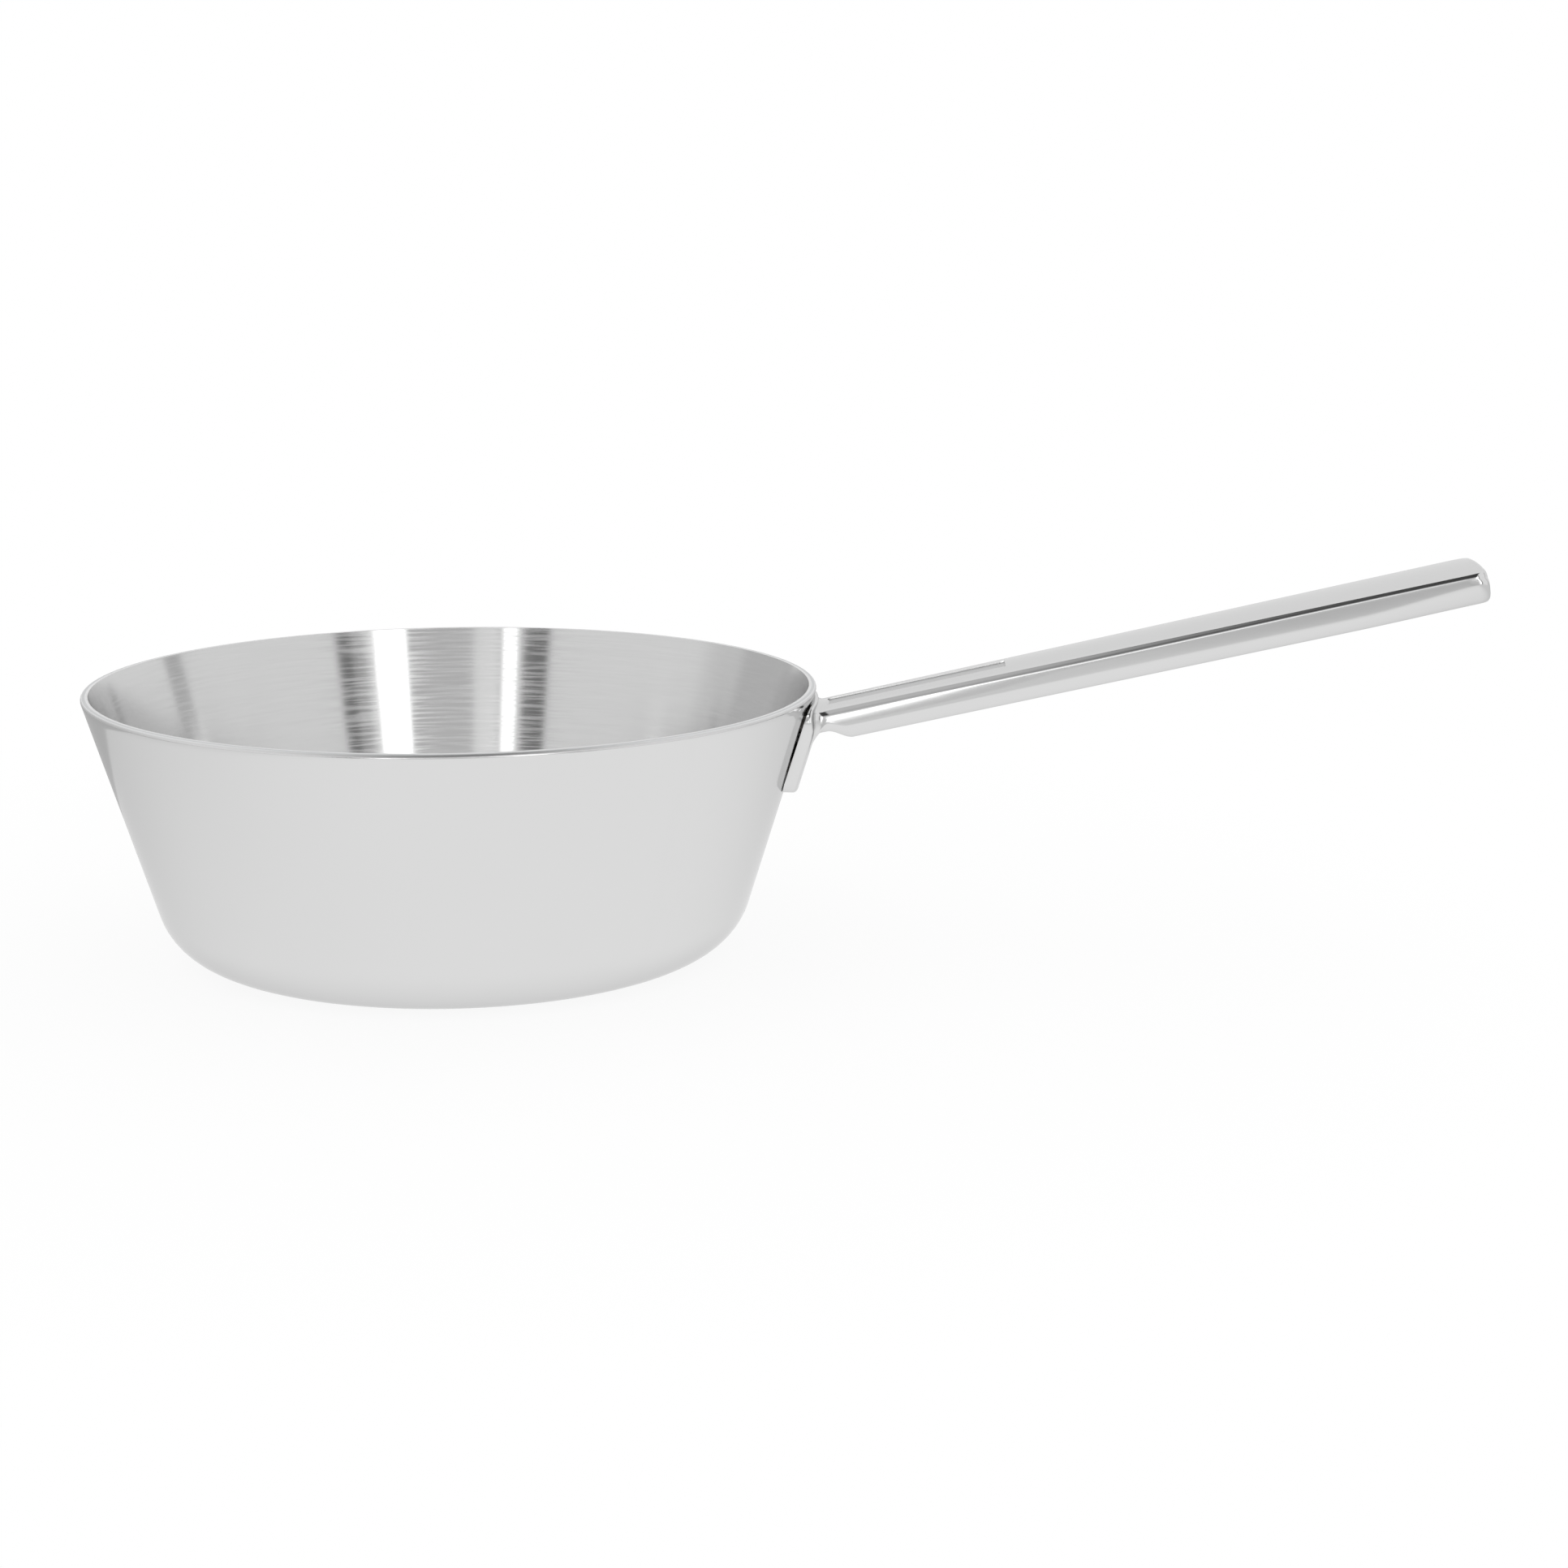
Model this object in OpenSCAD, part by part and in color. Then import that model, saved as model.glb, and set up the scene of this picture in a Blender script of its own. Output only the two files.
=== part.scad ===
// Conical saucier pan in clad steel, with one long cast handle spot-welded to the wall.
// The origin is the centre of the base's underside. X runs out along the handle, Z is up.

/* [Bowl] */
// Outer diameter across the rim
rim_d = 240; // [200:1:280]
// Height from the underside of the base to the rim
bowl_h = 88.5; // [75:0.5:110]
// Lean of the wall away from upright, in degrees
wall_lean = 17.3; // [12:0.1:22]
// Outside radius where the wall turns into the base
corner_r = 23; // [16:0.5:30]
// Radius on the outer edge of the rim
rim_edge_r = 1; // [0.4:0.1:1.4]

/* [Clad sheet] */
// Thickness of the inner steel ply, the cooking surface
lining_t = 0.5; // [0.4:0.05:0.8]
// Thickness of each soft aluminium ply beside the core
bond_t = 0.35; // [0.25:0.05:0.6]
// Thickness of the aluminium alloy core ply
core_t = 0.9; // [0.6:0.05:1.6]
// Thickness of the outer magnetic steel ply
shell_t = 0.5; // [0.4:0.05:0.8]

/* [Handle] */
// Length of the handle along its top, from under the rim to the tip
handle_l = 218.5; // [180:1:240]
// Rise of the handle above level, in degrees
handle_rise = 12.7; // [6:0.1:18]
// How far the handle's top starts below the rim
top_drop = 6.4; // [5:0.1:10]
// Width of the handle where it leaves the wall plate
root_w = 27.5; // [22:0.5:32]
// Width of the handle at its tip
tip_w = 36; // [28:0.5:40]
// Thickness of the neck close to the wall plate
neck_t = 7.3; // [6:0.1:9]
// Thickness of the grip behind the scooped neck
grip_t = 11; // [9:0.1:13]
// Distance from the rim to the end of the scoop under the neck
scoop_l = 10; // [9:0.5:20]
// Radius along the two upper edges
top_edge_r = 2; // [1.5:0.1:3]
// Radius along the two lower edges
under_edge_r = 4.6; // [2.5:0.1:5]
// Rise of the slightly domed top above its edges
crown = 0.6; // [0.2:0.05:0.8]
// Corner radius of the tip, seen from above
tip_corner_r = 4; // [3:0.5:8]
// Radius on the upper and lower edges of the tip
tip_edge_r = 1.6; // [1.5:0.1:3]

/* [Recess in the top of the handle] */
// Length of the shallow recess
recess_l = 59; // [30:1:80]
// Width of the recess
recess_w = 10.5; // [6:0.5:14]
// Depth of the recess
recess_depth = 0.5; // [0.3:0.05:1]
// Distance along the handle from the rim to the recess
recess_start = 3.9; // [3.5:0.1:10]

/* [Wall plate] */
// Thickness of the plate that hugs the wall
plate_t = 3.6; // [3:0.1:5]
// Gap between the rim and the top edge of the plate
plate_gap = 4.2; // [3.4:0.1:4.8]
// Depth of the lowest point of the plate below the rim
plate_drop = 34.4; // [32:0.2:42]
// Width of the plate across its top, along the wall
plate_top_w = 38; // [36:0.5:44]
// Width of the plate across its lower corners, along the wall
plate_low_w = 36; // [32:0.5:42]
// Radius of the curved lower edge
plate_sweep_r = 68; // [50:1:120]
// Corner radius of the plate
plate_corner_r = 5; // [4:0.5:6]
// Radius on the outer edge of the plate
plate_edge_r = 0.9; // [0.5:0.1:1.4]
// How much the plate thins from the foot of the neck up to its top edge
plate_thinning = 2.4; // [1:0.1:2.6]

/* [Blend between plate and handle] */
// Share of the way from neck to plate edge that the blend takes above the neck
blend_up = 0.84; // [0.6:0.01:0.92]
// Share of the way that it takes beside the neck
blend_side = 0.6; // [0.3:0.01:0.8]
// Share of the way that it takes below the neck
blend_down = 0.14; // [0.08:0.01:0.5]
// Reach of the blend along the handle above the neck
reach_up = 2.2; // [2:0.1:4]
// Reach of the blend along the handle beside the neck
reach_side = 5; // [3:0.5:14]
// Reach of the blend along the handle below the neck
reach_down = 2; // [1:0.1:6]

/* [Welds] */
// Diameter of one weld nugget
weld_d = 6; // [4:0.5:8]
// Thickness of a nugget, which is the gap between plate and wall
weld_gap = 0.6; // [0.3:0.05:0.9]
// Angle round the bowl between neighbouring nuggets, in degrees
weld_pitch = 5.5; // [4.5:0.5:6]
// Depth of the upper row of nuggets below the rim
weld_row_a = 11; // [9:0.5:13]
// Depth of the lower row of nuggets below the rim
weld_row_b = 24; // [20:0.5:26]

/* [Hidden] */

rim_r = rim_d / 2;
sheet_t = lining_t + bond_t + core_t + bond_t + shell_t;
lean_tan = tan(wall_lean);
// Radius of the ring on which the corner arc is centred
corner_x = rim_r - ((bowl_h - corner_r) * sin(wall_lean) + corner_r) / cos(wall_lean);
// Room that a cutting shape runs past the face it cuts
over = 1;
// Smoothness of the round faces
round_fn = 96;

// Radius of the wall's outer face at height z, moved outwards by off along its normal
function wall_r(z, off) = rim_r - (bowl_h - z) * lean_tan + off / cos(wall_lean);
// The point at angle a round the bowl on that face
function on_wall(a, z, off) = [wall_r(z, off) * cos(a), wall_r(z, off) * sin(a), z];
function mix(a, b, u) = a + (b - a) * u;
// Smooth step from 0 at lo to 1 at hi
function ease(x, lo, hi) = let (u = min(1, max(0, (x - lo) / (hi - lo)))) u * u * (3 - 2 * u);

// The bowl's half profile, filled and moved inwards by inset: base, corner arc and wall
module bowl_area(inset) {
    arc_r = corner_r - inset;
    arc_end = [corner_x + arc_r * cos(wall_lean), corner_r - arc_r * sin(wall_lean)];
    polygon([[0, inset], [corner_x, inset], arc_end, [wall_r(bowl_h + over, -inset), bowl_h + over],
             [0, bowl_h + over]]);
    translate([corner_x, corner_r]) circle(r = arc_r, $fn = round_fn);
}

// The same profile up to the rim, with the outer edge of the rim rounded
module outer_area() {
    centre = [rim_r - rim_edge_r * (1 + sin(wall_lean)) / cos(wall_lean), bowl_h - rim_edge_r];
    edge = centre + rim_edge_r * [cos(wall_lean), -sin(wall_lean)];
    intersection() {
        bowl_area(0);
        union() {
            polygon([[0, -over], [rim_d, -over], [rim_d, edge[1]], edge, centre, [centre[0], bowl_h],
                     [0, bowl_h]]);
            translate(centre) circle(r = rim_edge_r, $fn = round_fn);
        }
    }
}

// One ply of the clad sheet, between two depths below the outer face
module ply(from_depth, to_depth) {
    rotate_extrude($fn = round_fn) difference() {
        intersection() {
            outer_area();
            bowl_area(from_depth);
        }
        bowl_area(to_depth);
    }
}

module outer_steel_shell() {
    color("gainsboro") rotate_extrude($fn = round_fn) difference() {
        outer_area();
        bowl_area(shell_t);
    }
}
module outer_bond_ply() { color("lightsteelblue") ply(shell_t, shell_t + bond_t); }
module alloy_core() { color("slategray") ply(shell_t + bond_t, shell_t + bond_t + core_t); }
module inner_bond_ply() { color("lightsteelblue") ply(sheet_t - lining_t - bond_t, sheet_t - lining_t); }
module steel_lining() { color("silver") ply(sheet_t - lining_t, sheet_t); }

// The handle is a loft through rings of points. Every ring runs through the same eight stretches:
// upper corner, side, lower corner and underside on +Y, then the same on -Y, and last the top.
corner_n = 6;
side_n = 5;
span_n = 16;
STRETCHES = [corner_n, side_n, corner_n, span_n, corner_n, side_n, corner_n, span_n];
// Each ring point as [stretch, share of the way along it]; corners hold both their ends
RING = [for (k = [0:7]) let (n = STRETCHES[k], ends = k % 2 == 0)
            for (j = [(ends ? 0 : 1):(ends ? n : n - 1)]) [k, j / n]];

function polar(r, a) = r * [cos(a), sin(a)];
function flip(p) = [-p[0], p[1]];
// The stretch on +Y that mirrors stretch k
function twin(d) = [6 - d[0], 1 - d[1]];

// Point d of the bar's cross-section, width w and thickness t, with its top at height 0
function section_pt(d, w, t) =
    let (fit = min(1, 0.92 * t / (top_edge_r + under_edge_r), 0.48 * w / under_edge_r),
         rt = top_edge_r * fit, rb = under_edge_r * fit, k = d[0], u = d[1])
    k == 7 ? [(w / 2 - rt) * (2 * u - 1), crown * (1 - pow(2 * u - 1, 2))] :
    k > 3 ? flip(section_pt(twin(d), w, t)) :
    k == 0 ? [w / 2 - rt, -rt] + polar(rt, 90 - 90 * u) :
    k == 1 ? [w / 2, mix(-rt, rb - t, u)] :
    k == 2 ? [w / 2 - rb, rb - t] + polar(rb, -90 * u) :
    [(w / 2 - rb) * (1 - 2 * u), -t];

// Corner centres of the plate's outline, as width along the wall and height
plate_top = [plate_top_w / 2 - plate_corner_r, bowl_h - plate_gap - plate_corner_r];
sweep_z = bowl_h - plate_drop + plate_sweep_r;
low_x = plate_low_w / 2 - plate_corner_r;
plate_low = [low_x, sweep_z - sqrt(pow(plate_sweep_r - plate_corner_r, 2) - pow(low_x, 2))];
// Slant of the plate's sides, and half the angle of its lower arc
slant = atan2(plate_top[0] - plate_low[0], plate_top[1] - plate_low[1]);
sweep = asin(low_x / (plate_sweep_r - plate_corner_r));

// Point d of the plate's outline moved inwards by inset
function plate_pt(d, inset) =
    let (r = plate_corner_r - inset, k = d[0], u = d[1])
    k == 7 ? [plate_top[0] * (2 * u - 1), plate_top[1] + r] :
    k > 3 ? flip(plate_pt(twin(d), inset)) :
    k == 0 ? plate_top + polar(r, mix(90, -slant, u)) :
    k == 1 ? mix(plate_pt([0, 1], inset), plate_pt([2, 0], inset), u) :
    k == 2 ? plate_low + polar(r, mix(-slant, sweep - 90, u)) :
    [0, sweep_z] + polar(plate_sweep_r - inset, -90 + sweep * (1 - 2 * u));

// Thickness of the plate at height z: it thins towards its top edge
function thick_at(z) =
    plate_t - plate_thinning * ease(z, bowl_h - top_drop - neck_t, bowl_h - plate_gap);

// Radius on the plate's outer edge beside point d, less where the plate is thin
function edge_r(d) = min(plate_edge_r, thick_at(plate_pt(d, 0)[1]) * 0.7);

// Ring of the plate's outline on the wall, scaled about its middle
plate_mid = [0, bowl_h - plate_drop / 2];
function back_ring(share) =
    [for (d = RING) let (p = mix(plate_mid, plate_pt(d, 0), share))
        on_wall(p[0] / rim_r * 180 / PI, p[1], weld_gap)];

// Ring round the plate's rounded edge, from its side at 0 degrees to its face at 90
function rim_ring(turn) =
    [for (d = RING) let (r = edge_r(d), p = plate_pt(d, r * (1 - cos(turn))))
        on_wall(p[0] / rim_r * 180 / PI, p[1], weld_gap + thick_at(p[1]) - r * (1 - sin(turn)))];

// The handle's own axes start on its top, straight under the rim's edge
rise_c = cos(handle_rise);
rise_s = sin(handle_rise);
top_z = bowl_h - top_drop;
// The point at width y, height q above the top and distance s along the handle
function bar_pt(p, s) = [rim_r - p[1] * rise_s + s * rise_c, p[0], top_z + p[1] * rise_c + s * rise_s];
// Distance s at which the line along the handle through p leaves the wall face moved out by off
function leaves_wall(p, off) =
    let (x = rim_r - p[1] * rise_s, r = wall_r(top_z + p[1] * rise_c, off), g = lean_tan * rise_s,
         a = rise_c * rise_c - g * g, b = x * rise_c - r * g, c = x * x + p[0] * p[0] - r * r)
    (sqrt(b * b - a * c) - b) / a;

function width_at(s) = mix(root_w, tip_w, s / handle_l);
function depth_at(s) = mix(neck_t, grip_t, ease(s, scoop_l / 5, scoop_l));

// A value that changes smoothly round the ring, given above, beside and below the neck
function around(d, up, side, down) =
    d[0] == 7 ? up :
    d[0] > 3 ? around(twin(d), up, side, down) :
    d[0] == 0 ? mix(up, side, ease(d[1], 0, 1)) :
    d[0] == 1 ? side :
    d[0] == 2 ? mix(side, down, ease(d[1], 0, 1)) : down;

// Point d of the plate's face edge, seen along the handle
function face_edge(d) =
    let (p = plate_pt(d, edge_r(d)),
         q = on_wall(p[0] / rim_r * 180 / PI, p[1], weld_gap + thick_at(p[1])))
    [q[1], (q[2] - top_z) * rise_c - (q[0] - rim_r) * rise_s];

// Ring on the blend: share of the way out to the plate's edge, and share of the reach
function blend_ring(out, along) =
    [for (d = RING)
        let (share = out * around(d, blend_up, blend_side, blend_down),
             reach = along * around(d, reach_up, reach_side, reach_down),
             edge = face_edge(d),
             first = mix(section_pt(d, root_w, neck_t), edge, share),
             z = top_z + first[1],
             s = leaves_wall(first, weld_gap + thick_at(z)) + reach)
        bar_pt(mix(section_pt(d, width_at(s), depth_at(s)), edge, share), s)];

// Ring on the flat of the plate's face, from its edge at 0 to the start of the blend at 1
function face_ring(inwards) =
    [for (d = RING)
        let (share = mix(1, around(d, blend_up, blend_side, blend_down), inwards),
             first = mix(section_pt(d, root_w, neck_t), face_edge(d), share))
        bar_pt(first, leaves_wall(first, weld_gap + thick_at(top_z + first[1])))];

// Ring between the end of the blend and the first square section
neck_end = max(scoop_l, reach_side) + 8;
function neck_ring(along) =
    [for (d = RING)
        let (first = section_pt(d, root_w, neck_t),
             start = leaves_wall(first, weld_gap + thick_at(top_z + first[1]))
                     + around(d, reach_up, reach_side, reach_down),
             s = mix(start, neck_end, along))
        bar_pt(section_pt(d, width_at(s), depth_at(s)), s)];

// Square section near the tip, where the corners turn in and the edges round off
function tip_ring(turn) =
    let (s = handle_l - tip_corner_r * (1 - sin(turn)),
         side_in = tip_corner_r * (1 - cos(turn)),
         past = max(0, s - handle_l + tip_edge_r),
         edge_in = tip_edge_r - sqrt(tip_edge_r * tip_edge_r - past * past))
    [for (d = RING) bar_pt(section_pt(d, width_at(s) - 2 * side_in, depth_at(s) - 2 * edge_in)
                           - [0, edge_in], s)];

RINGS = concat(
    [for (share = [0.25:0.25:1]) back_ring(share)],
    [for (turn = [0:22.5:90]) rim_ring(turn)],
    [for (u = [0.35, 0.7]) face_ring(u)],
    [for (turn = [0:11.25:90]) blend_ring(1 - sin(turn), 1 - cos(turn))],
    [for (u = [1:6]) neck_ring(u / 6)],
    [for (turn = [0:11.25:90]) tip_ring(turn)]);

// Closed loft through rings that all have as many points, with a point in the middle of each end
module loft(rings) {
    n = len(rings[0]);
    m = len(rings);
    first_mid = on_wall(0, plate_mid[1], weld_gap);
    last_mid = (rings[m - 1][0] + rings[m - 1][n / 2]) / 2;
    points = concat([for (ring = rings) each ring], [first_mid, last_mid]);
    skin = [for (i = [0:m - 2], j = [0:n - 1])
        let (a = i * n + j, b = i * n + (j + 1) % n) each [[a, b, b + n], [a, b + n, a + n]]];
    ends = [for (j = [0:n - 1]) let (k = (j + 1) % n)
        each [[n * m, k, j], [n * m + 1, n * (m - 1) + j, n * (m - 1) + k]]];
    polyhedron(points, concat(skin, ends), convexity = 6);
}

module handle() {
    color("lightgray") difference() {
        loft(RINGS);
        translate([rim_r, 0, top_z]) rotate([0, -handle_rise, 0])
            translate([recess_start, -recess_w / 2, -recess_depth])
                cube([recess_l, recess_w, recess_depth + crown + over]);
    }
}

// The nuggets fill the gap between plate and wall at six places
module weld_nuggets() {
    color("dimgray") intersection() {
        rotate_extrude($fn = round_fn) polygon([
            [wall_r(bowl_h - plate_drop, 0), bowl_h - plate_drop],
            [wall_r(bowl_h - plate_drop, weld_gap), bowl_h - plate_drop],
            [wall_r(bowl_h, weld_gap), bowl_h], [wall_r(bowl_h, 0), bowl_h]]);
        for (drop = [weld_row_a, weld_row_b], side = [-1:1])
            rotate([0, 0, side * weld_pitch]) translate([wall_r(bowl_h - drop, 0), 0, bowl_h - drop])
                rotate([0, 90 + wall_lean, 0])
                    cylinder(d = weld_d, h = weld_d, center = true, $fn = round_fn);
    }
}

steel_lining();
inner_bond_ply();
alloy_core();
outer_bond_ply();
outer_steel_shell();
handle();
weld_nuggets();
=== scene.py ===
import math

import bpy
import numpy as np
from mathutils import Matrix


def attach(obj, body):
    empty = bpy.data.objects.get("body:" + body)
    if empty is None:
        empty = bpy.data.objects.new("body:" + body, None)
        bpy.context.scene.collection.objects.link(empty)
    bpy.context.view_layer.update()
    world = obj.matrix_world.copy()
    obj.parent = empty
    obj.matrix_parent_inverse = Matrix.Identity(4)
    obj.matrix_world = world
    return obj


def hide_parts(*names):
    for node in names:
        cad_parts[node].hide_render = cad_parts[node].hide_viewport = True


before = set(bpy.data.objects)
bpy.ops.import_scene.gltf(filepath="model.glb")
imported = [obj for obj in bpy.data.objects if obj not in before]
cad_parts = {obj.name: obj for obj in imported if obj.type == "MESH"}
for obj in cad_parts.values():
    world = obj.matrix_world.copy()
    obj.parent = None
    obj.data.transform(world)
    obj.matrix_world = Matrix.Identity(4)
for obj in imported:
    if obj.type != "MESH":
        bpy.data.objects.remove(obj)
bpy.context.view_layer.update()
mm = 0.001


# Shader helpers

# One socket of a node tree, so that shader maths reads as plain sums
class Wire:
    def __init__(self, recipe, socket):
        self.recipe = recipe
        self.socket = socket

    def math(self, operation, *values):
        return self.recipe.add("Math", {"operation": operation}, dict(enumerate((self,) + values)))

    def other(self, name):
        return Wire(self.recipe, self.socket.node.outputs[name])

    def __add__(self, value):
        return self.math("ADD", value)

    __radd__ = __add__

    def __mul__(self, value):
        return self.math("MULTIPLY", value)

    __rmul__ = __mul__

    def __sub__(self, value):
        return self.math("SUBTRACT", value)

    def __rsub__(self, value):
        return self.recipe.add("Math", {"operation": "SUBTRACT"}, {0: value, 1: self})

    def __truediv__(self, value):
        return self.math("DIVIDE", value)

    def clamped(self, lowest, highest):
        return self.math("MAXIMUM", lowest).math("MINIMUM", highest)

    def vector(self, operation, value):
        return self.recipe.add("VectorMath", {"operation": operation}, {0: self, 1: value})


# A node tree that is filled one node at a time: its kind, its settings, then its sockets
class Recipe:
    def __init__(self, owner):
        owner.use_nodes = True
        self.tree = owner.node_tree
        self.tree.nodes.clear()

    def add(self, kind, settings=None, values=None, output=0):
        node = self.tree.nodes.new("ShaderNode" + kind)
        for name, setting in (settings or {}).items():
            setattr(node, name, setting)
        for name, value in (values or {}).items():
            if isinstance(value, Wire):
                self.tree.links.new(value.socket, node.inputs[name])
            else:
                node.inputs[name].default_value = value
        return Wire(self, node.outputs[output]) if node.outputs else node

    def place(self, output="Object"):
        return self.add("TexCoord", output=output)

    # The x of a vector; its y and z are other("Y") and other("Z")
    def apart(self, vector):
        return self.add("SeparateXYZ", values={"Vector": vector})

    def joined(self, x, y, z):
        return self.add("CombineXYZ", values={"X": x, "Y": y, "Z": z})

    def noise(self, vector, scale=1.0, detail=2.0, roughness=0.5):
        return self.add("TexNoise", {"noise_dimensions": "3D"},
                        {"Vector": vector, "Scale": scale, "Detail": detail, "Roughness": roughness})

    # Smooth fall from 1 inside the edge to 0 at the edge plus soft
    def fade(self, distance, edge, soft):
        return self.add("MapRange", {"interpolation_type": "SMOOTHSTEP"},
                        {"Value": distance, "From Min": edge, "From Max": edge + soft,
                         "To Min": 1.0, "To Max": 0.0})

    # The colour from deep to pale, by how worn the metal is
    def tint(self, look, wear):
        return self.add("Mix", {"data_type": "RGBA", "blend_type": "MIX"},
                        {0: wear, 6: look["deep"] + (1.0,), 7: look["pale"] + (1.0,)}, output=2)

    def bumps(self, look, height, under=None):
        values = {"Strength": look["bump"], "Distance": look["bumpDepth"], "Height": height}
        if under:
            values["Normal"] = under
        return self.add("Bump", values=values)

    def metal(self, colour, normal, finish):
        return self.add("BsdfPrincipled", values={
            "Base Color": colour, "Metallic": 1.0, "Normal": normal, **finish})


def newMaterial(name):
    material = bpy.data.materials.new(name)
    return material, Recipe(material)


def finishMaterial(recipe, shader):
    recipe.add("OutputMaterial", values={"Surface": shader})


def dress(piece, material):
    piece.data.materials.clear()
    piece.data.materials.append(material)


# Sizes in millimetres, as in the part's source

bowl = dict(rimR=120.0, height=88.5, lean=17.3)

handleShape = dict(
    length=218.5, rise=12.7, topDrop=6.4, rootW=27.5, tipW=36.0, neckT=7.3, gripT=11.0, scoopL=10.0,
    scoopFrom=0.2, topEdgeR=2.0, underEdgeR=4.6, crown=0.6, tipCornerR=4.0, tipEdgeR=1.6,
    recessL=59.0, recessW=10.5, recessStart=3.9,
    plateT=3.6, plateGap=4.2, plateDrop=34.4, plateTopW=38.0, plateLowW=36.0, plateSweepR=68.0,
    plateCornerR=5.0, plateEdgeR=0.9, edgeMost=0.7, thinning=2.4, weldGap=0.6,
    blendUp=0.84, blendSide=0.6, blendDown=0.14, reachUp=2.2, reachSide=5.0, reachDown=2.0,
)

# Finer forms of the polished casting, which the part's source leaves out
polish = dict(
    recessDepth=0.0, recessEase=0.12,                   # floor below the line between the top's edges
    neckTopR=3.0, neckTopFrom=80.0, neckTopTo=205.0,    # the top edges are rounder towards the neck
    tipUnderR=7.2, tipUnderFrom=45.0,                   # the under edges are rounder towards the tip
    sideRoll=2.0, neckRoll=22.0, neckRollTo=100.0,      # degrees that the sides lean in
    tipDraw=1.5, tipDrawFrom=7.5,                       # the tip's upper corners draw in
    lowSlit=0.25, topSlit=0.6,                          # open slit between plate and wall
)

# How finely the casting is drawn: points round a ring, rings along the handle, and their gaps
fineness = dict(
    corner=12, side=8, under=24, top=42, topOuter=7, topEased=5,
    back=(0.3, 0.6, 0.85, 1.0), edge=13, face=9, blend=31,
    neckFoot=(0.005, 0.01, 0.015, 0.02, 0.025, 0.03, 0.06), neckFrom=0.1, neck=19,
    besideRecess=8, recessEnd=5, grip=24, drawn=10, tip=19,
    neckPast=8.0, neckGap=4.0, recessGap=2.0, drawnGap=1.0, tipGap=0.5, sharpFrom=60.0,
)


# Steel finishes

# Direction round the pan's axis, distance along the wall's profile, and height
def roundTheBowl(recipe):
    x = recipe.apart(recipe.place())
    y, z = x.other("Y"), x.other("Z")
    radius = (x * x + y * y).math("SQRT")
    safe = radius.math("MAXIMUM", mm / 2)    # on the axis itself there is no direction
    return dict(cosine=x / safe, sine=y / safe, across=radius + z, height=z)


# Lines that run round the bowl: so many to a metre across them, and shorter as turns grows
def linesRound(recipe, spot, perMetre, turns, detail=2.0, roughness=0.5):
    drawnOut = recipe.joined(spot["cosine"] * turns, spot["sine"] * turns, spot["across"] * perMetre)
    return recipe.noise(drawnOut, detail=detail, roughness=roughness)


brushedLook = dict(
    pale=(0.69, 0.69, 0.69), deep=(0.61, 0.61, 0.61),
    lines=dict(perMetre=2400.0, turns=7.0, detail=3.0, roughness=0.6), linesShare=0.6,
    bands=dict(perMetre=420.0, turns=3.0), bandsShare=0.3,
    blotch=dict(scale=22.0, detail=3.0), blotchShare=0.1,
    roughness=0.15, anisotropy=1.0, turn=0.25,     # a quarter turn smears reflections across the lines
    wideRoughness=0.25, wideAnisotropy=0.30,       # rougher cuts, which scatter along themselves
    cuts=dict(perMetre=950.0, turns=5.0), cutsFrom=0.42, cutsGain=3.0, cutsMost=0.6,
    bump=0.03, bumpDepth=0.00001,
)


def brushedRound(name, look):
    material, recipe = newMaterial(name)
    spot = roundTheBowl(recipe)
    lines = linesRound(recipe, spot, **look["lines"])
    bands = linesRound(recipe, spot, **look["bands"])
    blotch = recipe.noise(recipe.place(), **look["blotch"])
    wear = lines * look["linesShare"] + bands * look["bandsShare"] + blotch * look["blotchShare"]
    colour = recipe.tint(look, wear)
    normal = recipe.bumps(look, lines)
    fine = recipe.metal(colour, normal, {
        "Roughness": look["roughness"], "Anisotropic": look["anisotropy"],
        "Anisotropic Rotation": look["turn"]})
    wide = recipe.metal(colour, normal, {
        "Roughness": look["wideRoughness"], "Anisotropic": look["wideAnisotropy"]})
    cuts = linesRound(recipe, spot, **look["cuts"])
    share = ((cuts - look["cutsFrom"]) * look["cutsGain"]).clamped(0.0, look["cutsMost"])
    finishMaterial(recipe, recipe.add("MixShader", values={0: share, 1: fine, 2: wide}))
    return material


satinLook = dict(
    pale=(0.725, 0.725, 0.725), deep=(0.695, 0.695, 0.695),
    grazing=(0.85, 0.85, 0.85, 1.0),               # keeps polished steel from whitening at its outline
    lines=dict(perMetre=2600.0, turns=9.0, detail=3.0, roughness=0.65), linesShare=0.5,
    clouds=dict(scale=18.0, detail=3.0), cloudsShare=0.5,
    roughness=0.12, roughnessSpread=0.04,
    lipFrom=0.0850, lipTo=0.0875, lipTurn=0.22,    # the wall turns upright just under the rim
    edgeFrom=0.0872, edgeTo=0.0878, edgeRoughness=0.40,
    bump=0.02, bumpDepth=0.00001,
)


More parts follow.
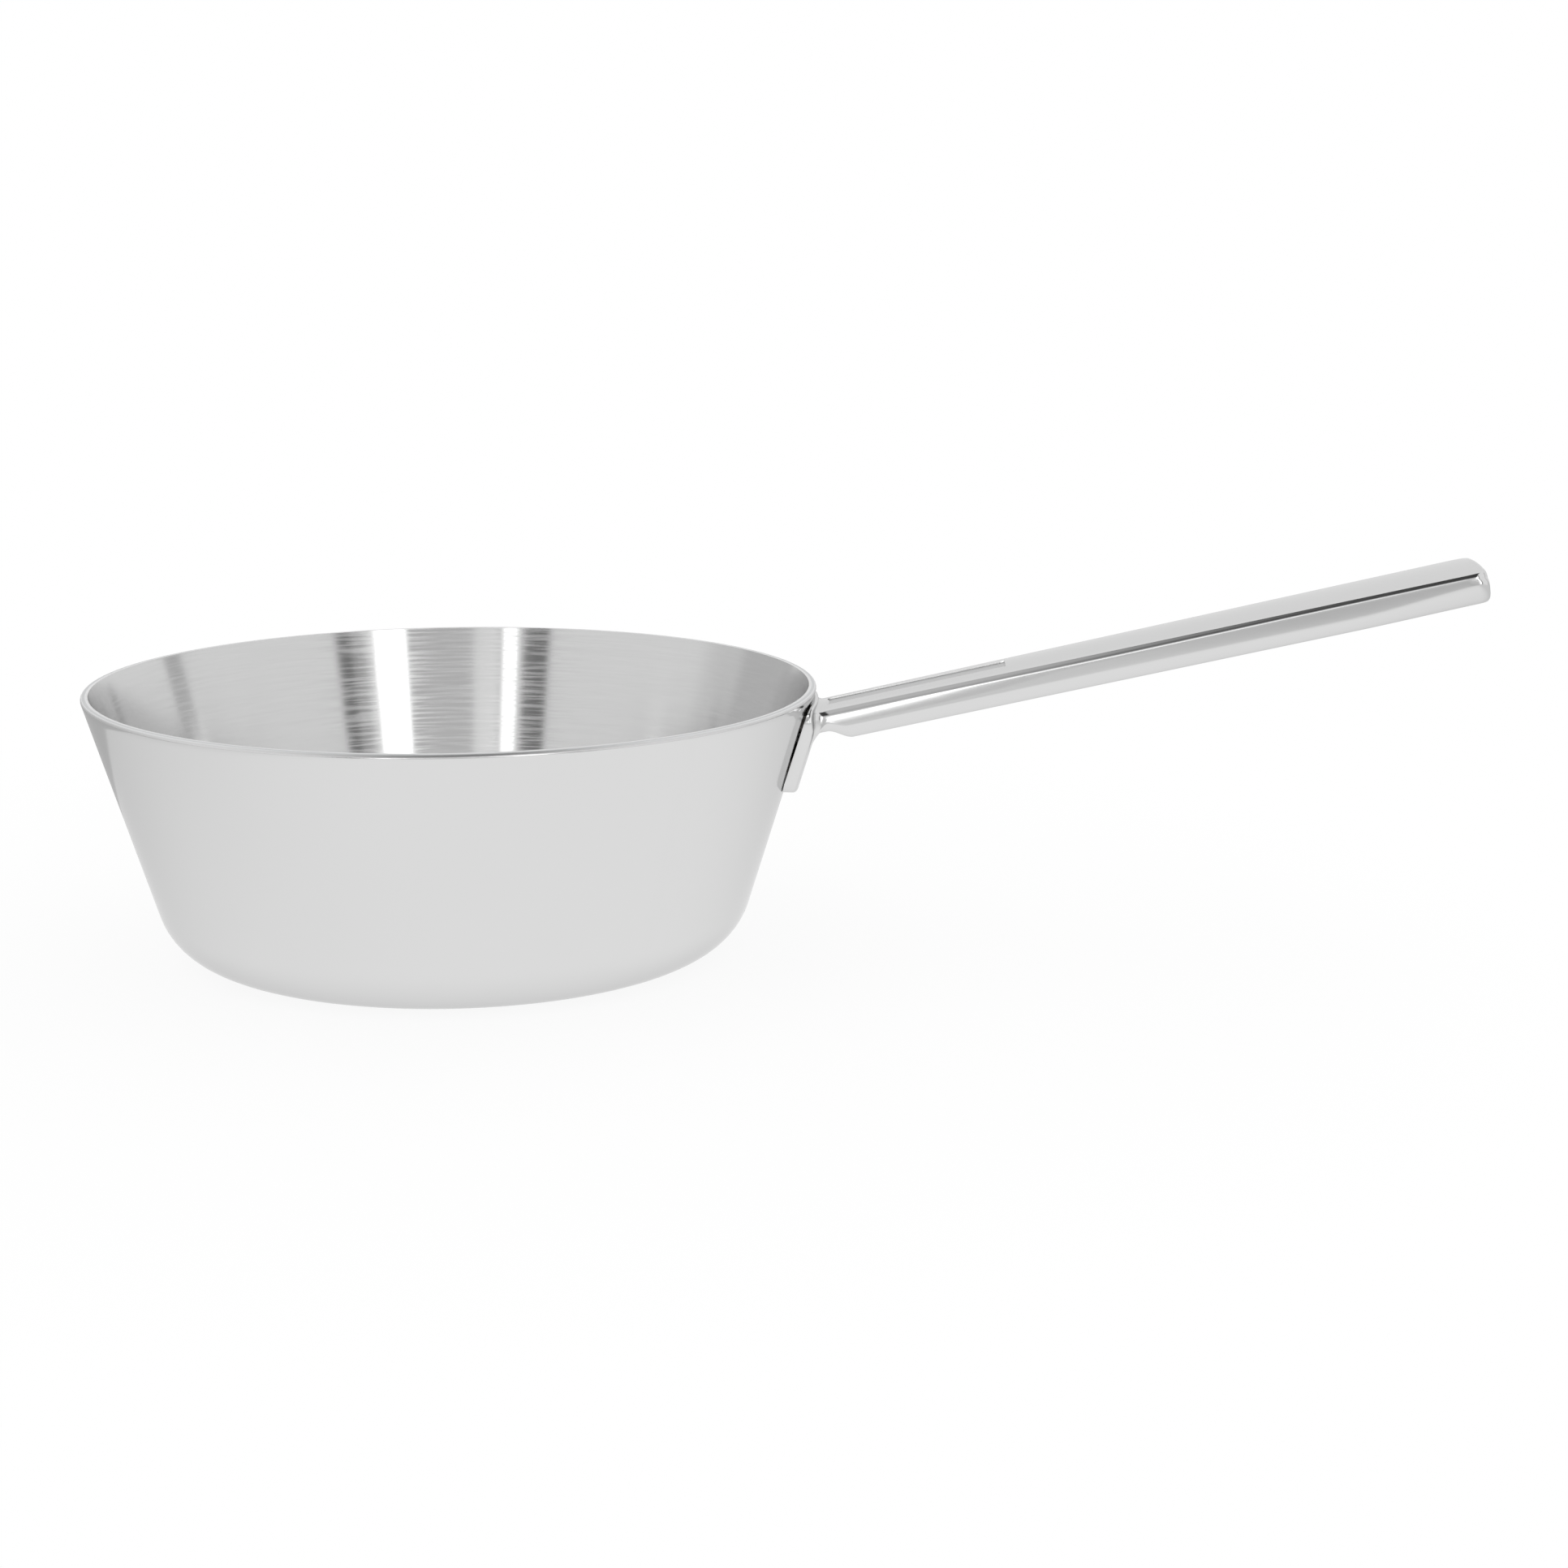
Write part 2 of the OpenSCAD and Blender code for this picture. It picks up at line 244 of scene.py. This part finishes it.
def satinRound(name, look):
    material, recipe = newMaterial(name)
    spot = roundTheBowl(recipe)
    lines = linesRound(recipe, spot, **look["lines"])
    clouds = recipe.noise(recipe.place(), **look["clouds"])
    wear = lines * look["linesShare"] + clouds * look["cloudsShare"]
    lip = 1 - recipe.fade(spot["height"], look["lipFrom"], look["lipTo"] - look["lipFrom"])
    normal = recipe.add("NewGeometry", output="Normal").vector(
        "ADD", recipe.joined(0.0, 0.0, lip * look["lipTurn"]))
    edge = 1 - recipe.fade(spot["height"], look["edgeFrom"], look["edgeTo"] - look["edgeFrom"])
    roughness = (wear - 0.5) * look["roughnessSpread"] + look["roughness"] \
        + edge * (look["edgeRoughness"] - look["roughness"])
    finishMaterial(recipe, recipe.metal(recipe.tint(look, wear), recipe.bumps(look, lines, normal), {
        "Roughness": roughness, "Specular Tint": look["grazing"]}))
    return material


castLook = dict(
    pale=(0.72, 0.72, 0.72), deep=(0.69, 0.69, 0.69), grazing=(0.85, 0.85, 0.85, 1.0),
    grainPerMetre=(60.0, 900.0, 900.0),            # long satin grain along the handle
    grain=dict(detail=3.0, roughness=0.6), grainShare=0.5,
    clouds=dict(scale=45.0, detail=4.0, roughness=0.55), cloudsShare=0.5,
    roughness=0.13, roughnessSpread=0.05,
    recessPaintedShade=0.86, recessRoughness=0.42,        # painted shade darkens the recess floor's colour, and the floor is rougher than the handle
    recessBelow=0.0001, recessFloor=0.0005, recessFloorSoft=0.00025, recessSideSoft=0.0001,
    bump=0.05, bumpDepth=0.00001,
)


# 1 on the floor of the recess: just below the handle's top line and between its long edges
def recessFloor(recipe, place, look):
    rise = math.radians(handleShape["rise"])
    x = recipe.apart(place)
    y, z = x.other("Y"), x.other("Z")
    above = (z - (bowl["height"] - handleShape["topDrop"]) * mm) * math.cos(rise) \
        - (x - bowl["rimR"] * mm) * math.sin(rise)
    below = recipe.fade(above, look["recessBelow"], look["recessBelow"])
    shallow = recipe.fade(above * -1, look["recessFloor"], look["recessFloorSoft"])
    within = recipe.fade(y.math("ABSOLUTE"), handleShape["recessW"] / 2 * mm, look["recessSideSoft"])
    return below * shallow * within


def castSatin(name, look):
    material, recipe = newMaterial(name)
    place = recipe.place()
    grain = recipe.noise(place.vector("MULTIPLY", look["grainPerMetre"]), **look["grain"])
    clouds = recipe.noise(place, **look["clouds"])
    wear = grain * look["grainShare"] + clouds * look["cloudsShare"]
    recess = recessFloor(recipe, place, look)
    # Painted shade: the colour of the recess floor is drawn darker
    shade = 1 - recess * (1 - look["recessPaintedShade"])
    colour = recipe.tint(look, wear).vector("MULTIPLY", recipe.joined(shade, shade, shade))
    roughness = (wear - 0.5) * look["roughnessSpread"] + look["roughness"] \
        + recess * (look["recessRoughness"] - look["roughness"])
    finishMaterial(recipe, recipe.metal(colour, recipe.bumps(look, grain), {
        "Roughness": roughness, "Specular Tint": look["grazing"]}))
    return material


# The plies' ground edges and the welds share one fine even grain
groundLook = dict(
    grit=dict(scale=1800.0), gritShare=0.4, patches=dict(scale=120.0, detail=3.0), patchesShare=0.6,
    roughnessSpread=0.12, bump=0.15, bumpDepth=0.00002,
)
softLook = dict(groundLook, pale=(0.80, 0.805, 0.81), deep=(0.74, 0.745, 0.75), roughness=0.34)
coreLook = dict(groundLook, pale=(0.66, 0.665, 0.67), deep=(0.60, 0.605, 0.61), roughness=0.38)
weldLook = dict(groundLook, pale=(0.42, 0.39, 0.35), deep=(0.26, 0.25, 0.25), roughness=0.45)


def groundMetal(name, look):
    material, recipe = newMaterial(name)
    place = recipe.place()
    grit = recipe.noise(place, **look["grit"])
    patches = recipe.noise(place, **look["patches"])
    wear = grit * look["gritShare"] + patches * look["patchesShare"]
    finishMaterial(recipe, recipe.metal(recipe.tint(look, wear), recipe.bumps(look, grit), {
        "Roughness": wear * look["roughnessSpread"] + look["roughness"]}))
    return material


liningSteel = brushedRound("liningSteel", brushedLook)
satinSteel = satinRound("satinSteel", satinLook)
castSteel = castSatin("castSteel", castLook)
softAluminium = groundMetal("softAluminium", softLook)
coreAluminium = groundMetal("coreAluminium", coreLook)
weldSteel = groundMetal("weldSteel", weldLook)

finishes = dict(steel_lining=liningSteel, inner_bond_ply=softAluminium, alloy_core=coreAluminium,
                outer_bond_ply=softAluminium, outer_steel_shell=satinSteel, weld_nuggets=weldSteel,
                handle=castSteel)
for nodeName, material in finishes.items():
    dress(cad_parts[nodeName], material)
print("finishes on", len(finishes), "parts")


# Handle: the casting's loft with finer rings and eased edges, in millimetres

def mix(a, b, u):
    return a + (b - a) * u


def ease(x, lo, hi):
    u = min(1.0, max(0.0, (x - lo) / (hi - lo)))
    return u * u * (3 - 2 * u)


def polar(r, degrees):
    return np.array((r * math.cos(math.radians(degrees)), r * math.sin(math.radians(degrees))))


def flip(p):
    return np.array((-p[0], p[1]))


# Each point of a ring has a mark: the stretch that it is on, and its share of the way along it.
# The stretches are upper corner, side, lower corner and underside, the first three again on the
# other side, from below, and the top. Straight stretches leave their ends to the corners.
def ringMarks(count):
    steps = [count["corner"], count["side"], count["corner"], count["under"],
             count["corner"], count["side"], count["corner"], count["top"]]
    marks = []
    for stretch, n in enumerate(steps):
        first = stretch % 2
        marks += [(stretch, j / n) for j in range(first, n + 1 - first)]
    return marks


class Casting:
    def __init__(self, sizes, count):
        self.sizes = sizes
        self.count = count
        self.marks = ringMarks(count)
        self.lean = math.tan(math.radians(bowl["lean"]))
        self.leanCos = math.cos(math.radians(bowl["lean"]))
        self.riseCos = math.cos(math.radians(sizes["rise"]))
        self.riseSin = math.sin(math.radians(sizes["rise"]))
        self.topZ = bowl["height"] - sizes["topDrop"]
        self.plateTopZ = bowl["height"] - sizes["plateGap"]
        self.plateLowZ = bowl["height"] - sizes["plateDrop"]
        self.sweepZ = self.plateLowZ + sizes["plateSweepR"]
        r = sizes["plateCornerR"]
        self.topCorner = np.array((sizes["plateTopW"] / 2 - r, self.plateTopZ - r))
        lowX = sizes["plateLowW"] / 2 - r
        sweepR = sizes["plateSweepR"] - r
        self.lowCorner = np.array((lowX, self.sweepZ - math.sqrt(sweepR ** 2 - lowX ** 2)))
        run, fall = self.topCorner - self.lowCorner
        self.slant = math.degrees(math.atan2(run, fall))
        self.sweep = math.degrees(math.asin(lowX / sweepR))
        self.neckEnd = max(sizes["scoopL"], sizes["reachSide"]) + count["neckPast"]

    # A point on the wall, that far round it, at height z, and off its face
    def onWall(self, width, z, off):
        a = width / bowl["rimR"]
        r = self.wallR(z, off)
        return np.array((r * math.cos(a), r * math.sin(a), z))

    def wallR(self, z, off):
        return bowl["rimR"] - (bowl["height"] - z) * self.lean + off / self.leanCos

    # The bar's width and thickness, and how far its sides lean in, most at the neck
    def widthAt(self, along):
        return mix(self.sizes["rootW"], self.sizes["tipW"], along / self.sizes["length"])

    def depthAt(self, along):
        s = self.sizes
        return mix(s["neckT"], s["gripT"], ease(along, s["scoopL"] * s["scoopFrom"], s["scoopL"]))

    def rollAt(self, along):
        s = self.sizes
        return math.radians(mix(s["neckRoll"], s["sideRoll"], ease(along, s["scoopL"], s["neckRollTo"])))

    # Spread the top's points so that some always stand on the two long edges of the recess
    def topSpread(self, share, half):
        edge, soft = self.sizes["recessW"] / 2, self.sizes["recessEase"]
        outer, eased = self.count["topOuter"], self.count["topEased"]
        inner = self.count["top"] - 2 * (outer + eased)
        step = soft * np.linspace(-0.5, 0.5, eased)
        stops = np.concatenate((np.linspace(-half, -edge - soft, outer + 1), step - edge,
                                np.linspace(-edge + soft, edge - soft, inner), step + edge,
                                np.linspace(edge + soft, half, outer + 1)))
        return stops[round(share * self.count["top"])]

    # 1 inside the recess, 0 outside, eased over a narrow edge
    def recessAt(self, y, along):
        s = self.sizes
        soft = s["recessEase"]
        across = 1 - ease(abs(y), s["recessW"] / 2 - soft / 2, s["recessW"] / 2 + soft / 2)
        start, end = s["recessStart"], s["recessStart"] + s["recessL"]
        return across * ease(along, start, start + soft) * (1 - ease(along, end - soft, end))

    # A point of the bar's section: y across it, z up from the line between its top edges.
    # Each side is one arc that leans in by roll at the top edge and by low at the under edge.
    def sectionPt(self, mark, wide, thick, along=0.0):
        s = self.sizes
        stretch, share = mark
        if 3 < stretch < 7:
            return flip(self.sectionPt((6 - stretch, 1 - share), wide, thick, along))
        topR = mix(s["neckTopR"], s["topEdgeR"], ease(along, s["neckTopFrom"], s["neckTopTo"]))
        fullR = mix(s["underEdgeR"], s["tipUnderR"],
                    ease(along, s["length"] - s["tipUnderFrom"], s["length"]))
        underR = fullR * thick / s["gripT"]
        roll = self.rollAt(along)
        sideR = (s["gripT"] - fullR - topR * (1 - math.sin(roll))) / math.sin(roll)
        low = min(roll, math.asin((underR - fullR + s["gripT"] - thick) / (sideR - underR)))
        drawn = max(0.0, (along - s["length"]) / s["tipDrawFrom"] + 1) ** 2 * s["tipDraw"]
        topY = wide / 2 - sideR * (1 - math.cos(roll)) - topR * math.cos(roll) - drawn
        lowY = wide / 2 - sideR * (1 - math.cos(low)) - underR * math.cos(low)
        if stretch == 7:
            y = self.topSpread(share, topY)
            cut = self.recessAt(y, along)
            return np.array((y, s["crown"] * (1 - (y / topY) ** 2) * (1 - cut) - s["recessDepth"] * cut))
        if stretch == 0:
            return np.array((topY, -topR)) + polar(topR, mix(90, math.degrees(roll), share))
        if stretch == 1:
            middle = np.array((wide / 2 - sideR - drawn * (1 - share) ** 2, fullR - s["gripT"]))
            return middle + polar(sideR, math.degrees(mix(roll, low, share)))
        if stretch == 2:
            return np.array((lowY, underR - thick)) + polar(underR, mix(math.degrees(low), -90, share))
        return np.array((lowY * (1 - 2 * share), -thick))

    # A point of the plate's outline, drawn in by inset: how far round the wall, and its height
    def platePt(self, mark, inset):
        s = self.sizes
        stretch, share = mark
        r = s["plateCornerR"] - inset
        if stretch == 7:
            return np.array((self.topCorner[0] * (2 * share - 1), self.topCorner[1] + r))
        if stretch > 3:
            return flip(self.platePt((6 - stretch, 1 - share), inset))
        if stretch == 0:
            return self.topCorner + polar(r, mix(90, -self.slant, share))
        if stretch == 1:
            return mix(self.platePt((0, 1), inset), self.platePt((2, 0), inset), share)
        if stretch == 2:
            return self.lowCorner + polar(r, mix(-self.slant, self.sweep - 90, share))
        turn = -90 + self.sweep * (1 - 2 * share)
        return np.array((0, self.sweepZ)) + polar(s["plateSweepR"] - inset, turn)

    # The plate's thickness, and the open slit at its edge, which widens towards the rim
    def thickAt(self, z):
        s = self.sizes
        return s["plateT"] - s["thinning"] * ease(z, self.topZ - s["neckT"], self.plateTopZ)

    def slitAt(self, z):
        return mix(self.sizes["lowSlit"], self.sizes["topSlit"], ease(z, self.plateLowZ, self.plateTopZ))

    def edgeR(self, mark):
        s = self.sizes
        return min(s["plateEdgeR"], self.thickAt(self.platePt(mark, 0)[1]) * s["edgeMost"])

    # One of three values by where a mark is: above, beside or below the neck, eased in the corners
    def around(self, mark, up, side, down):
        stretch, share = mark
        if stretch == 7:
            return up
        if stretch > 3:
            return self.around((6 - stretch, 1 - share), up, side, down)
        if stretch == 0:
            return mix(up, side, ease(share, 0, 1))
        if stretch == 2:
            return mix(side, down, ease(share, 0, 1))
        return side if stretch == 1 else down

    def blendAt(self, mark):
        s = self.sizes
        return self.around(mark, s["blendUp"], s["blendSide"], s["blendDown"])

    def reachAt(self, mark):
        s = self.sizes
        return self.around(mark, s["reachUp"], s["reachSide"], s["reachDown"])

    # Put a section's point p that far along the handle
    def barPt(self, p, along):
        return np.array((bowl["rimR"] - p[1] * self.riseSin + along * self.riseCos, p[0],
                         self.topZ + p[1] * self.riseCos + along * self.riseSin))

    # How far along the handle a line through p leaves the plate's face
    def leavesFace(self, p):
        x = bowl["rimR"] - p[1] * self.riseSin
        r = self.wallR(self.topZ + p[1] * self.riseCos,
                       self.sizes["weldGap"] + self.thickAt(self.topZ + p[1]))
        g = self.lean * self.riseSin
        a = self.riseCos ** 2 - g * g
        b = x * self.riseCos - r * g
        c = x * x + p[0] ** 2 - r * r
        return (math.sqrt(b * b - a * c) - b) / a

    # The edge of the plate's face, seen along the handle
    def faceEdge(self, mark):
        p = self.platePt(mark, self.edgeR(mark))
        q = self.onWall(p[0], p[1], self.sizes["weldGap"] + self.thickAt(p[1]))
        return np.array((q[1], (q[2] - self.topZ) * self.riseCos - (q[0] - bowl["rimR"]) * self.riseSin))

    def rootPt(self, mark):
        return self.sectionPt(mark, self.sizes["rootW"], self.sizes["neckT"])

    # Rings from the plate's back, round its edge and over its face
    def backRing(self, share):
        middle = np.array((0, bowl["height"] - self.sizes["plateDrop"] / 2))
        ring = []
        for mark in self.marks:
            p = mix(middle, self.platePt(mark, 0), share)
            off = self.slitAt(p[1]) if share == 1 else self.sizes["weldGap"]
            ring.append(self.onWall(p[0], p[1], off))
        return ring

    def edgeRing(self, turn):
        ring = []
        for mark in self.marks:
            r = self.edgeR(mark)
            p = self.platePt(mark, r * (1 - math.cos(turn)))
            off = self.sizes["weldGap"] + self.thickAt(p[1]) - r * (1 - math.sin(turn))
            ring.append(self.onWall(p[0], p[1], off))
        return ring

    def faceRing(self, inwards):
        ring = []
        for mark in self.marks:
            p = mix(self.rootPt(mark), self.faceEdge(mark), mix(1, self.blendAt(mark), inwards))
            ring.append(self.barPt(p, self.leavesFace(p)))
        return ring

    # Rings that turn from the plate's face into the neck, then follow the neck and the grip
    def blendRing(self, turn):
        ring = []
        for mark in self.marks:
            share = (1 - math.sin(turn)) * self.blendAt(mark)
            edge = self.faceEdge(mark)
            start = self.leavesFace(mix(self.rootPt(mark), edge, share))
            at = start + (1 - math.cos(turn)) * self.reachAt(mark)
            section = self.sectionPt(mark, self.widthAt(at), self.depthAt(at))
            ring.append(self.barPt(mix(section, edge, share), at))
        return ring

    def neckRing(self, share):
        ring = []
        for mark in self.marks:
            start = self.leavesFace(self.rootPt(mark)) + self.reachAt(mark)
            at = mix(start, self.neckEnd, share)
            ring.append(self.barPt(self.sectionPt(mark, self.widthAt(at), self.depthAt(at), at), at))
        return ring

    def barRing(self, at):
        return [self.barPt(self.sectionPt(mark, self.widthAt(at), self.depthAt(at), at), at)
                for mark in self.marks]

    def tipRing(self, turn):
        s = self.sizes
        at = s["length"] - s["tipCornerR"] * (1 - math.sin(turn))
        sideIn = s["tipCornerR"] * (1 - math.cos(turn))
        past = max(0.0, at - s["length"] + s["tipEdgeR"])
        edgeIn = s["tipEdgeR"] - math.sqrt(max(0.0, s["tipEdgeR"] ** 2 - past ** 2))
        wide, thick = self.widthAt(at) - 2 * sideIn, self.depthAt(at) - 2 * edgeIn
        return [self.barPt(self.sectionPt(mark, wide, thick, at) - np.array((0, edgeIn)), at)
                for mark in self.marks]

    def rings(self):
        s, count = self.sizes, self.count
        quarter = math.pi / 2
        recessEnd = s["recessStart"] + s["recessL"]
        drawFrom = s["length"] - s["tipDrawFrom"]
        tipFrom = s["length"] - s["tipCornerR"]
        beside, recessGap = self.neckEnd + count["neckGap"], count["recessGap"]
        stops = [*np.linspace(beside, recessEnd - recessGap, count["besideRecess"]),
                 *np.linspace(recessEnd - s["recessEase"], recessEnd, count["recessEnd"]),
                 *np.linspace(recessEnd + recessGap, drawFrom - count["drawnGap"], count["grip"]),
                 *np.linspace(drawFrom, tipFrom - count["tipGap"], count["drawn"])]
        rings = [self.backRing(share) for share in count["back"]]
        rings += [self.edgeRing(turn) for turn in np.linspace(0, quarter, count["edge"])]
        rings += [self.faceRing(share) for share in np.linspace(0, 1, count["face"])[1:-1]]
        rings += [self.blendRing(turn) for turn in np.linspace(0, quarter, count["blend"])]
        rings += [self.neckRing(share) for share in count["neckFoot"]]
        rings += [self.neckRing(share) for share in np.linspace(count["neckFrom"], 1, count["neck"])]
        rings += [self.barRing(at) for at in stops]
        rings += [self.tipRing(turn) for turn in np.linspace(0, quarter, count["tip"])]
        return rings


def loftMesh(name, rings, sharpFrom):
    n, m = len(rings[0]), len(rings)
    points = [p * mm for ring in rings for p in ring]
    faces = [(i * n + j, (i + 1) * n + j, (i + 1) * n + (j + 1) % n, i * n + (j + 1) % n)
             for i in range(m - 1) for j in range(n)]
    for base, order in ((0, 1), ((m - 1) * n, -1)):    # a fan of faces closes each end
        points.append(np.mean(np.array(points[base:base + n]), axis=0))
        faces += [(len(points) - 1, base + j, base + (j + 1) % n)[::order] for j in range(n)]
    mesh = bpy.data.meshes.new(name)
    mesh.from_pydata([tuple(p) for p in points], [], faces)
    mesh.validate()
    mesh.shade_smooth()
    mesh.set_sharp_from_angle(angle=math.radians(sharpFrom))
    mesh.update()
    piece = bpy.data.objects.new(name, mesh)
    bpy.context.scene.collection.objects.link(piece)
    return piece


casting = Casting(dict(handleShape, **polish), fineness)
handlePiece = loftMesh("handle_casting", casting.rings(), fineness["sharpFrom"])
dress(handlePiece, castSteel)
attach(handlePiece, "root")
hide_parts("handle")
print("handle loft:", len(handlePiece.data.vertices), "points")


# Studio: pale table, plain light all round and a few soft panels, in the pan's own axes

# What the metal mirrors is a white sheet on the table, and the darker room past its edges
floorLook = dict(
    colour=(0.97, 0.97, 0.97), half=3.0,
    shine=1.0, rim=0.78, poolX=0.15, poolY=-0.25, poolTo=0.16, poolSoft=0.50,    # a pool of light
    close=0.86, closeTo=0.07, closeSoft=0.04,                                    # painted shadow right beside the pan
    backX=-0.26, backY=0.10, backSlant=0.66, backSoft=0.008, pastBack=0.74,      # the back edge
    frontEdge=0.36, cornerX=0.114, cornerY=0.41, slant=1.296, edgeSoft=0.03,     # the front edge
    beyond=0.75, farFrom=0.42, farSoft=0.26, farBeyond=0.80,                     # past the front edge
    rightBeyond=0.58, rightFrom=0.12, rightSoft=0.30,                            # and to its right
    shadowShare=0.12, shadowTo=0.26, shadowSoft=0.14,
)

# The panels' azimuth, elevation, half width, half height and soft edge are in degrees
studioLook = dict(
    base=0.94, forDiffuse=1.0,
    panels=dict(
        middleLeft=dict(azimuth=-93.5, elevation=23, halfW=3, halfH=4, soft=3.5, level=1.45),
        middle=dict(azimuth=-76.5, elevation=18, halfW=9, halfH=22, soft=7, level=0.84),
        frontLow=dict(azimuth=-87, elevation=5, halfW=9, halfH=8, soft=5, level=0.66),
        rightSoftbox=dict(azimuth=-60, elevation=20, halfW=5, halfH=18, soft=1.4, level=2.7),
        leftSoftbox=dict(azimuth=-102.6, elevation=12, halfW=1.6, halfH=15, soft=1.8, level=3.2),
        rightGapSide=dict(azimuth=-46.5, elevation=18, halfW=2.5, halfH=34, soft=4, level=0.50),
        rightGap=dict(azimuth=-43.2, elevation=18, halfW=1.2, halfH=34, soft=3, level=0.18),
        leftGap=dict(azimuth=-112.2, elevation=18, halfW=3, halfH=34, soft=3.4, level=0.14),
        rightSlit=dict(azimuth=25, elevation=12, halfW=2.5, halfH=20, soft=3, level=0.55),
        backSide=dict(azimuth=157, elevation=5, halfW=18, halfH=14, soft=10, level=0.77),
        backLeft=dict(azimuth=145, elevation=5, halfW=14, halfH=14, soft=6, level=0.62),
    ),
    ceilingFront=18.0, frontSoft=30.0, ceilingBack=104.0, backSoft=6.0,          # degrees over the top
    ceilingHalf=0.30, ceilingFall=0.12,
    ceiling=0.05, ceilingLeft=0.62, leftFrom=0.13, leftSoft=0.14,                # paler to the left
)


def onPanel(recipe, direction, panel):
    azimuth = math.radians(panel["azimuth"])
    x = recipe.apart(direction)
    y, z = x.other("Y"), x.other("Z")
    ahead = x * math.cos(azimuth) + y * math.sin(azimuth)
    aside = y * math.cos(azimuth) - x * math.sin(azimuth)
    turn = aside.math("ARCTAN2", ahead).math("ABSOLUTE") * math.degrees(1)
    lift = (z.math("ARCSINE") * math.degrees(1) - panel["elevation"]).math("ABSOLUTE")
    return recipe.fade(turn, panel["halfW"], panel["soft"]) \
        * recipe.fade(lift, panel["halfH"], panel["soft"])


# The dark ceiling, by a direction's tilt from level in front, over the top, to level at the back
def withCeiling(recipe, direction, level, look):
    x = recipe.apart(direction)
    tilt = x.other("Z").math("ARCTAN2", x.other("Y") * -1) * math.degrees(1)
    over = (1 - recipe.fade(tilt, look["ceilingFront"], look["frontSoft"])) \
        * recipe.fade(tilt, look["ceilingBack"], look["backSoft"]) \
        * recipe.fade(x.math("ABSOLUTE"), look["ceilingHalf"], look["ceilingFall"])
    left = 1 - recipe.fade(x * -1, look["leftFrom"], look["leftSoft"])
    ceiling = left * (look["ceilingLeft"] - look["ceiling"]) + look["ceiling"]
    return (ceiling - level) * over + level


# Only reflections see the panels and the ceiling; the camera and the table see plain light
def makeWorld(look):
    world = bpy.data.worlds.new("studio")
    bpy.context.scene.world = world
    recipe = Recipe(world)
    direction = recipe.place("Generated")
    level = look["base"]
    for panel in look["panels"].values():
        level = (panel["level"] - level) * onPanel(recipe, direction, panel) + level
    level = withCeiling(recipe, direction, level, look)
    mirrored = recipe.add("LightPath", output="Is Glossy Ray")
    level = (level - look["forDiffuse"]) * mirrored + look["forDiffuse"]
    shader = recipe.add("Background", values={"Color": level})
    recipe.add("OutputWorld", values={"Surface": shader})


# How bright the table is in a reflection, by place
def mirroredTable(recipe, x, y, far, look):
    aside, ahead = x - look["poolX"], y - look["poolY"]
    pool = recipe.fade((aside * aside + ahead * ahead).math("SQRT"), look["poolTo"], look["poolSoft"])
    sheet = pool * (look["shine"] - look["rim"]) + look["rim"]
    # Painted shadow: the mirrored table is drawn darker right beside the pan
    beside = recipe.fade(far, look["closeTo"], look["closeSoft"])
    sheet = sheet * (1 - beside * (1 - look["close"]))
    pastBack = y - look["backY"] - (x - look["backX"]) * look["backSlant"]
    onBack = recipe.fade(pastBack, 0.0, look["backSoft"])
    sheet = sheet * (onBack * (1 - look["pastBack"]) + look["pastBack"])
    pastFront = y * -1 - look["frontEdge"]
    pastSlant = y * -1 - look["cornerY"] - (x - look["cornerX"]) * look["slant"]
    onSheet = recipe.fade(pastFront.math("MINIMUM", pastSlant), 0.0, look["edgeSoft"])
    distant = recipe.fade(x, look["rightFrom"], look["rightSoft"]) \
        * (look["farBeyond"] - look["rightBeyond"]) + look["rightBeyond"]
    beyond = recipe.fade(y * -1, look["farFrom"], look["farSoft"]) * (look["beyond"] - distant) + distant
    return (sheet - beyond) * onSheet + beyond


# The camera sees the table white but for the pan's shadow; other light meets a plain pale cloth
def makeFloor(look):
    half = look["half"]
    mesh = bpy.data.meshes.new("table")
    mesh.from_pydata([(-half, -half, 0), (half, -half, 0), (half, half, 0), (-half, half, 0)],
                     [], [(0, 1, 2, 3)])
    table = bpy.data.objects.new("table", mesh)
    bpy.context.scene.collection.objects.link(table)
    material, recipe = newMaterial("paleTable")
    x = recipe.apart(recipe.place())
    y = x.other("Y")
    far = (x * x + y * y).math("SQRT")
    mirrored = mirroredTable(recipe, x, y, far, look)
    camera = recipe.add("LightPath", output="Is Camera Ray")
    glossy = camera.other("Is Glossy Ray")
    glow = recipe.add("Emission", values={"Color": mirrored + (1 - mirrored) * camera})
    cloth = recipe.add("BsdfDiffuse", values={"Color": look["colour"] + (1.0,)})
    near = recipe.fade(far, look["shadowTo"], look["shadowSoft"])
    share = ((1 - near * look["shadowShare"]) * camera).math("MAXIMUM", glossy)
    finishMaterial(recipe, recipe.add("MixShader", values={0: share, 1: cloth, 2: glow}))
    dress(table, material)


makeWorld(studioLook)
makeFloor(floorLook)
print("studio ready:", len(studioLook["panels"]), "panels")


# Camera at the photograph's angle

viewLook = dict(place=(0.1467, -1.0054, 0.2675), left=2.14, down=11.894, lens=71.59, sensor=36.0,
                nearest=0.01, furthest=50.0)


def makeCamera(look):
    data = bpy.data.cameras.new("camera")
    data.lens, data.sensor_width = look["lens"], look["sensor"]
    data.clip_start, data.clip_end = look["nearest"], look["furthest"]
    camera = bpy.data.objects.new("camera", data)
    camera.location = look["place"]
    camera.rotation_euler = (math.radians(90 - look["down"]), 0, math.radians(look["left"]))
    bpy.context.scene.collection.objects.link(camera)
    bpy.context.scene.camera = camera


makeCamera(viewLook)
bpy.context.scene.view_settings.view_transform = "Standard"
print("camera ready")
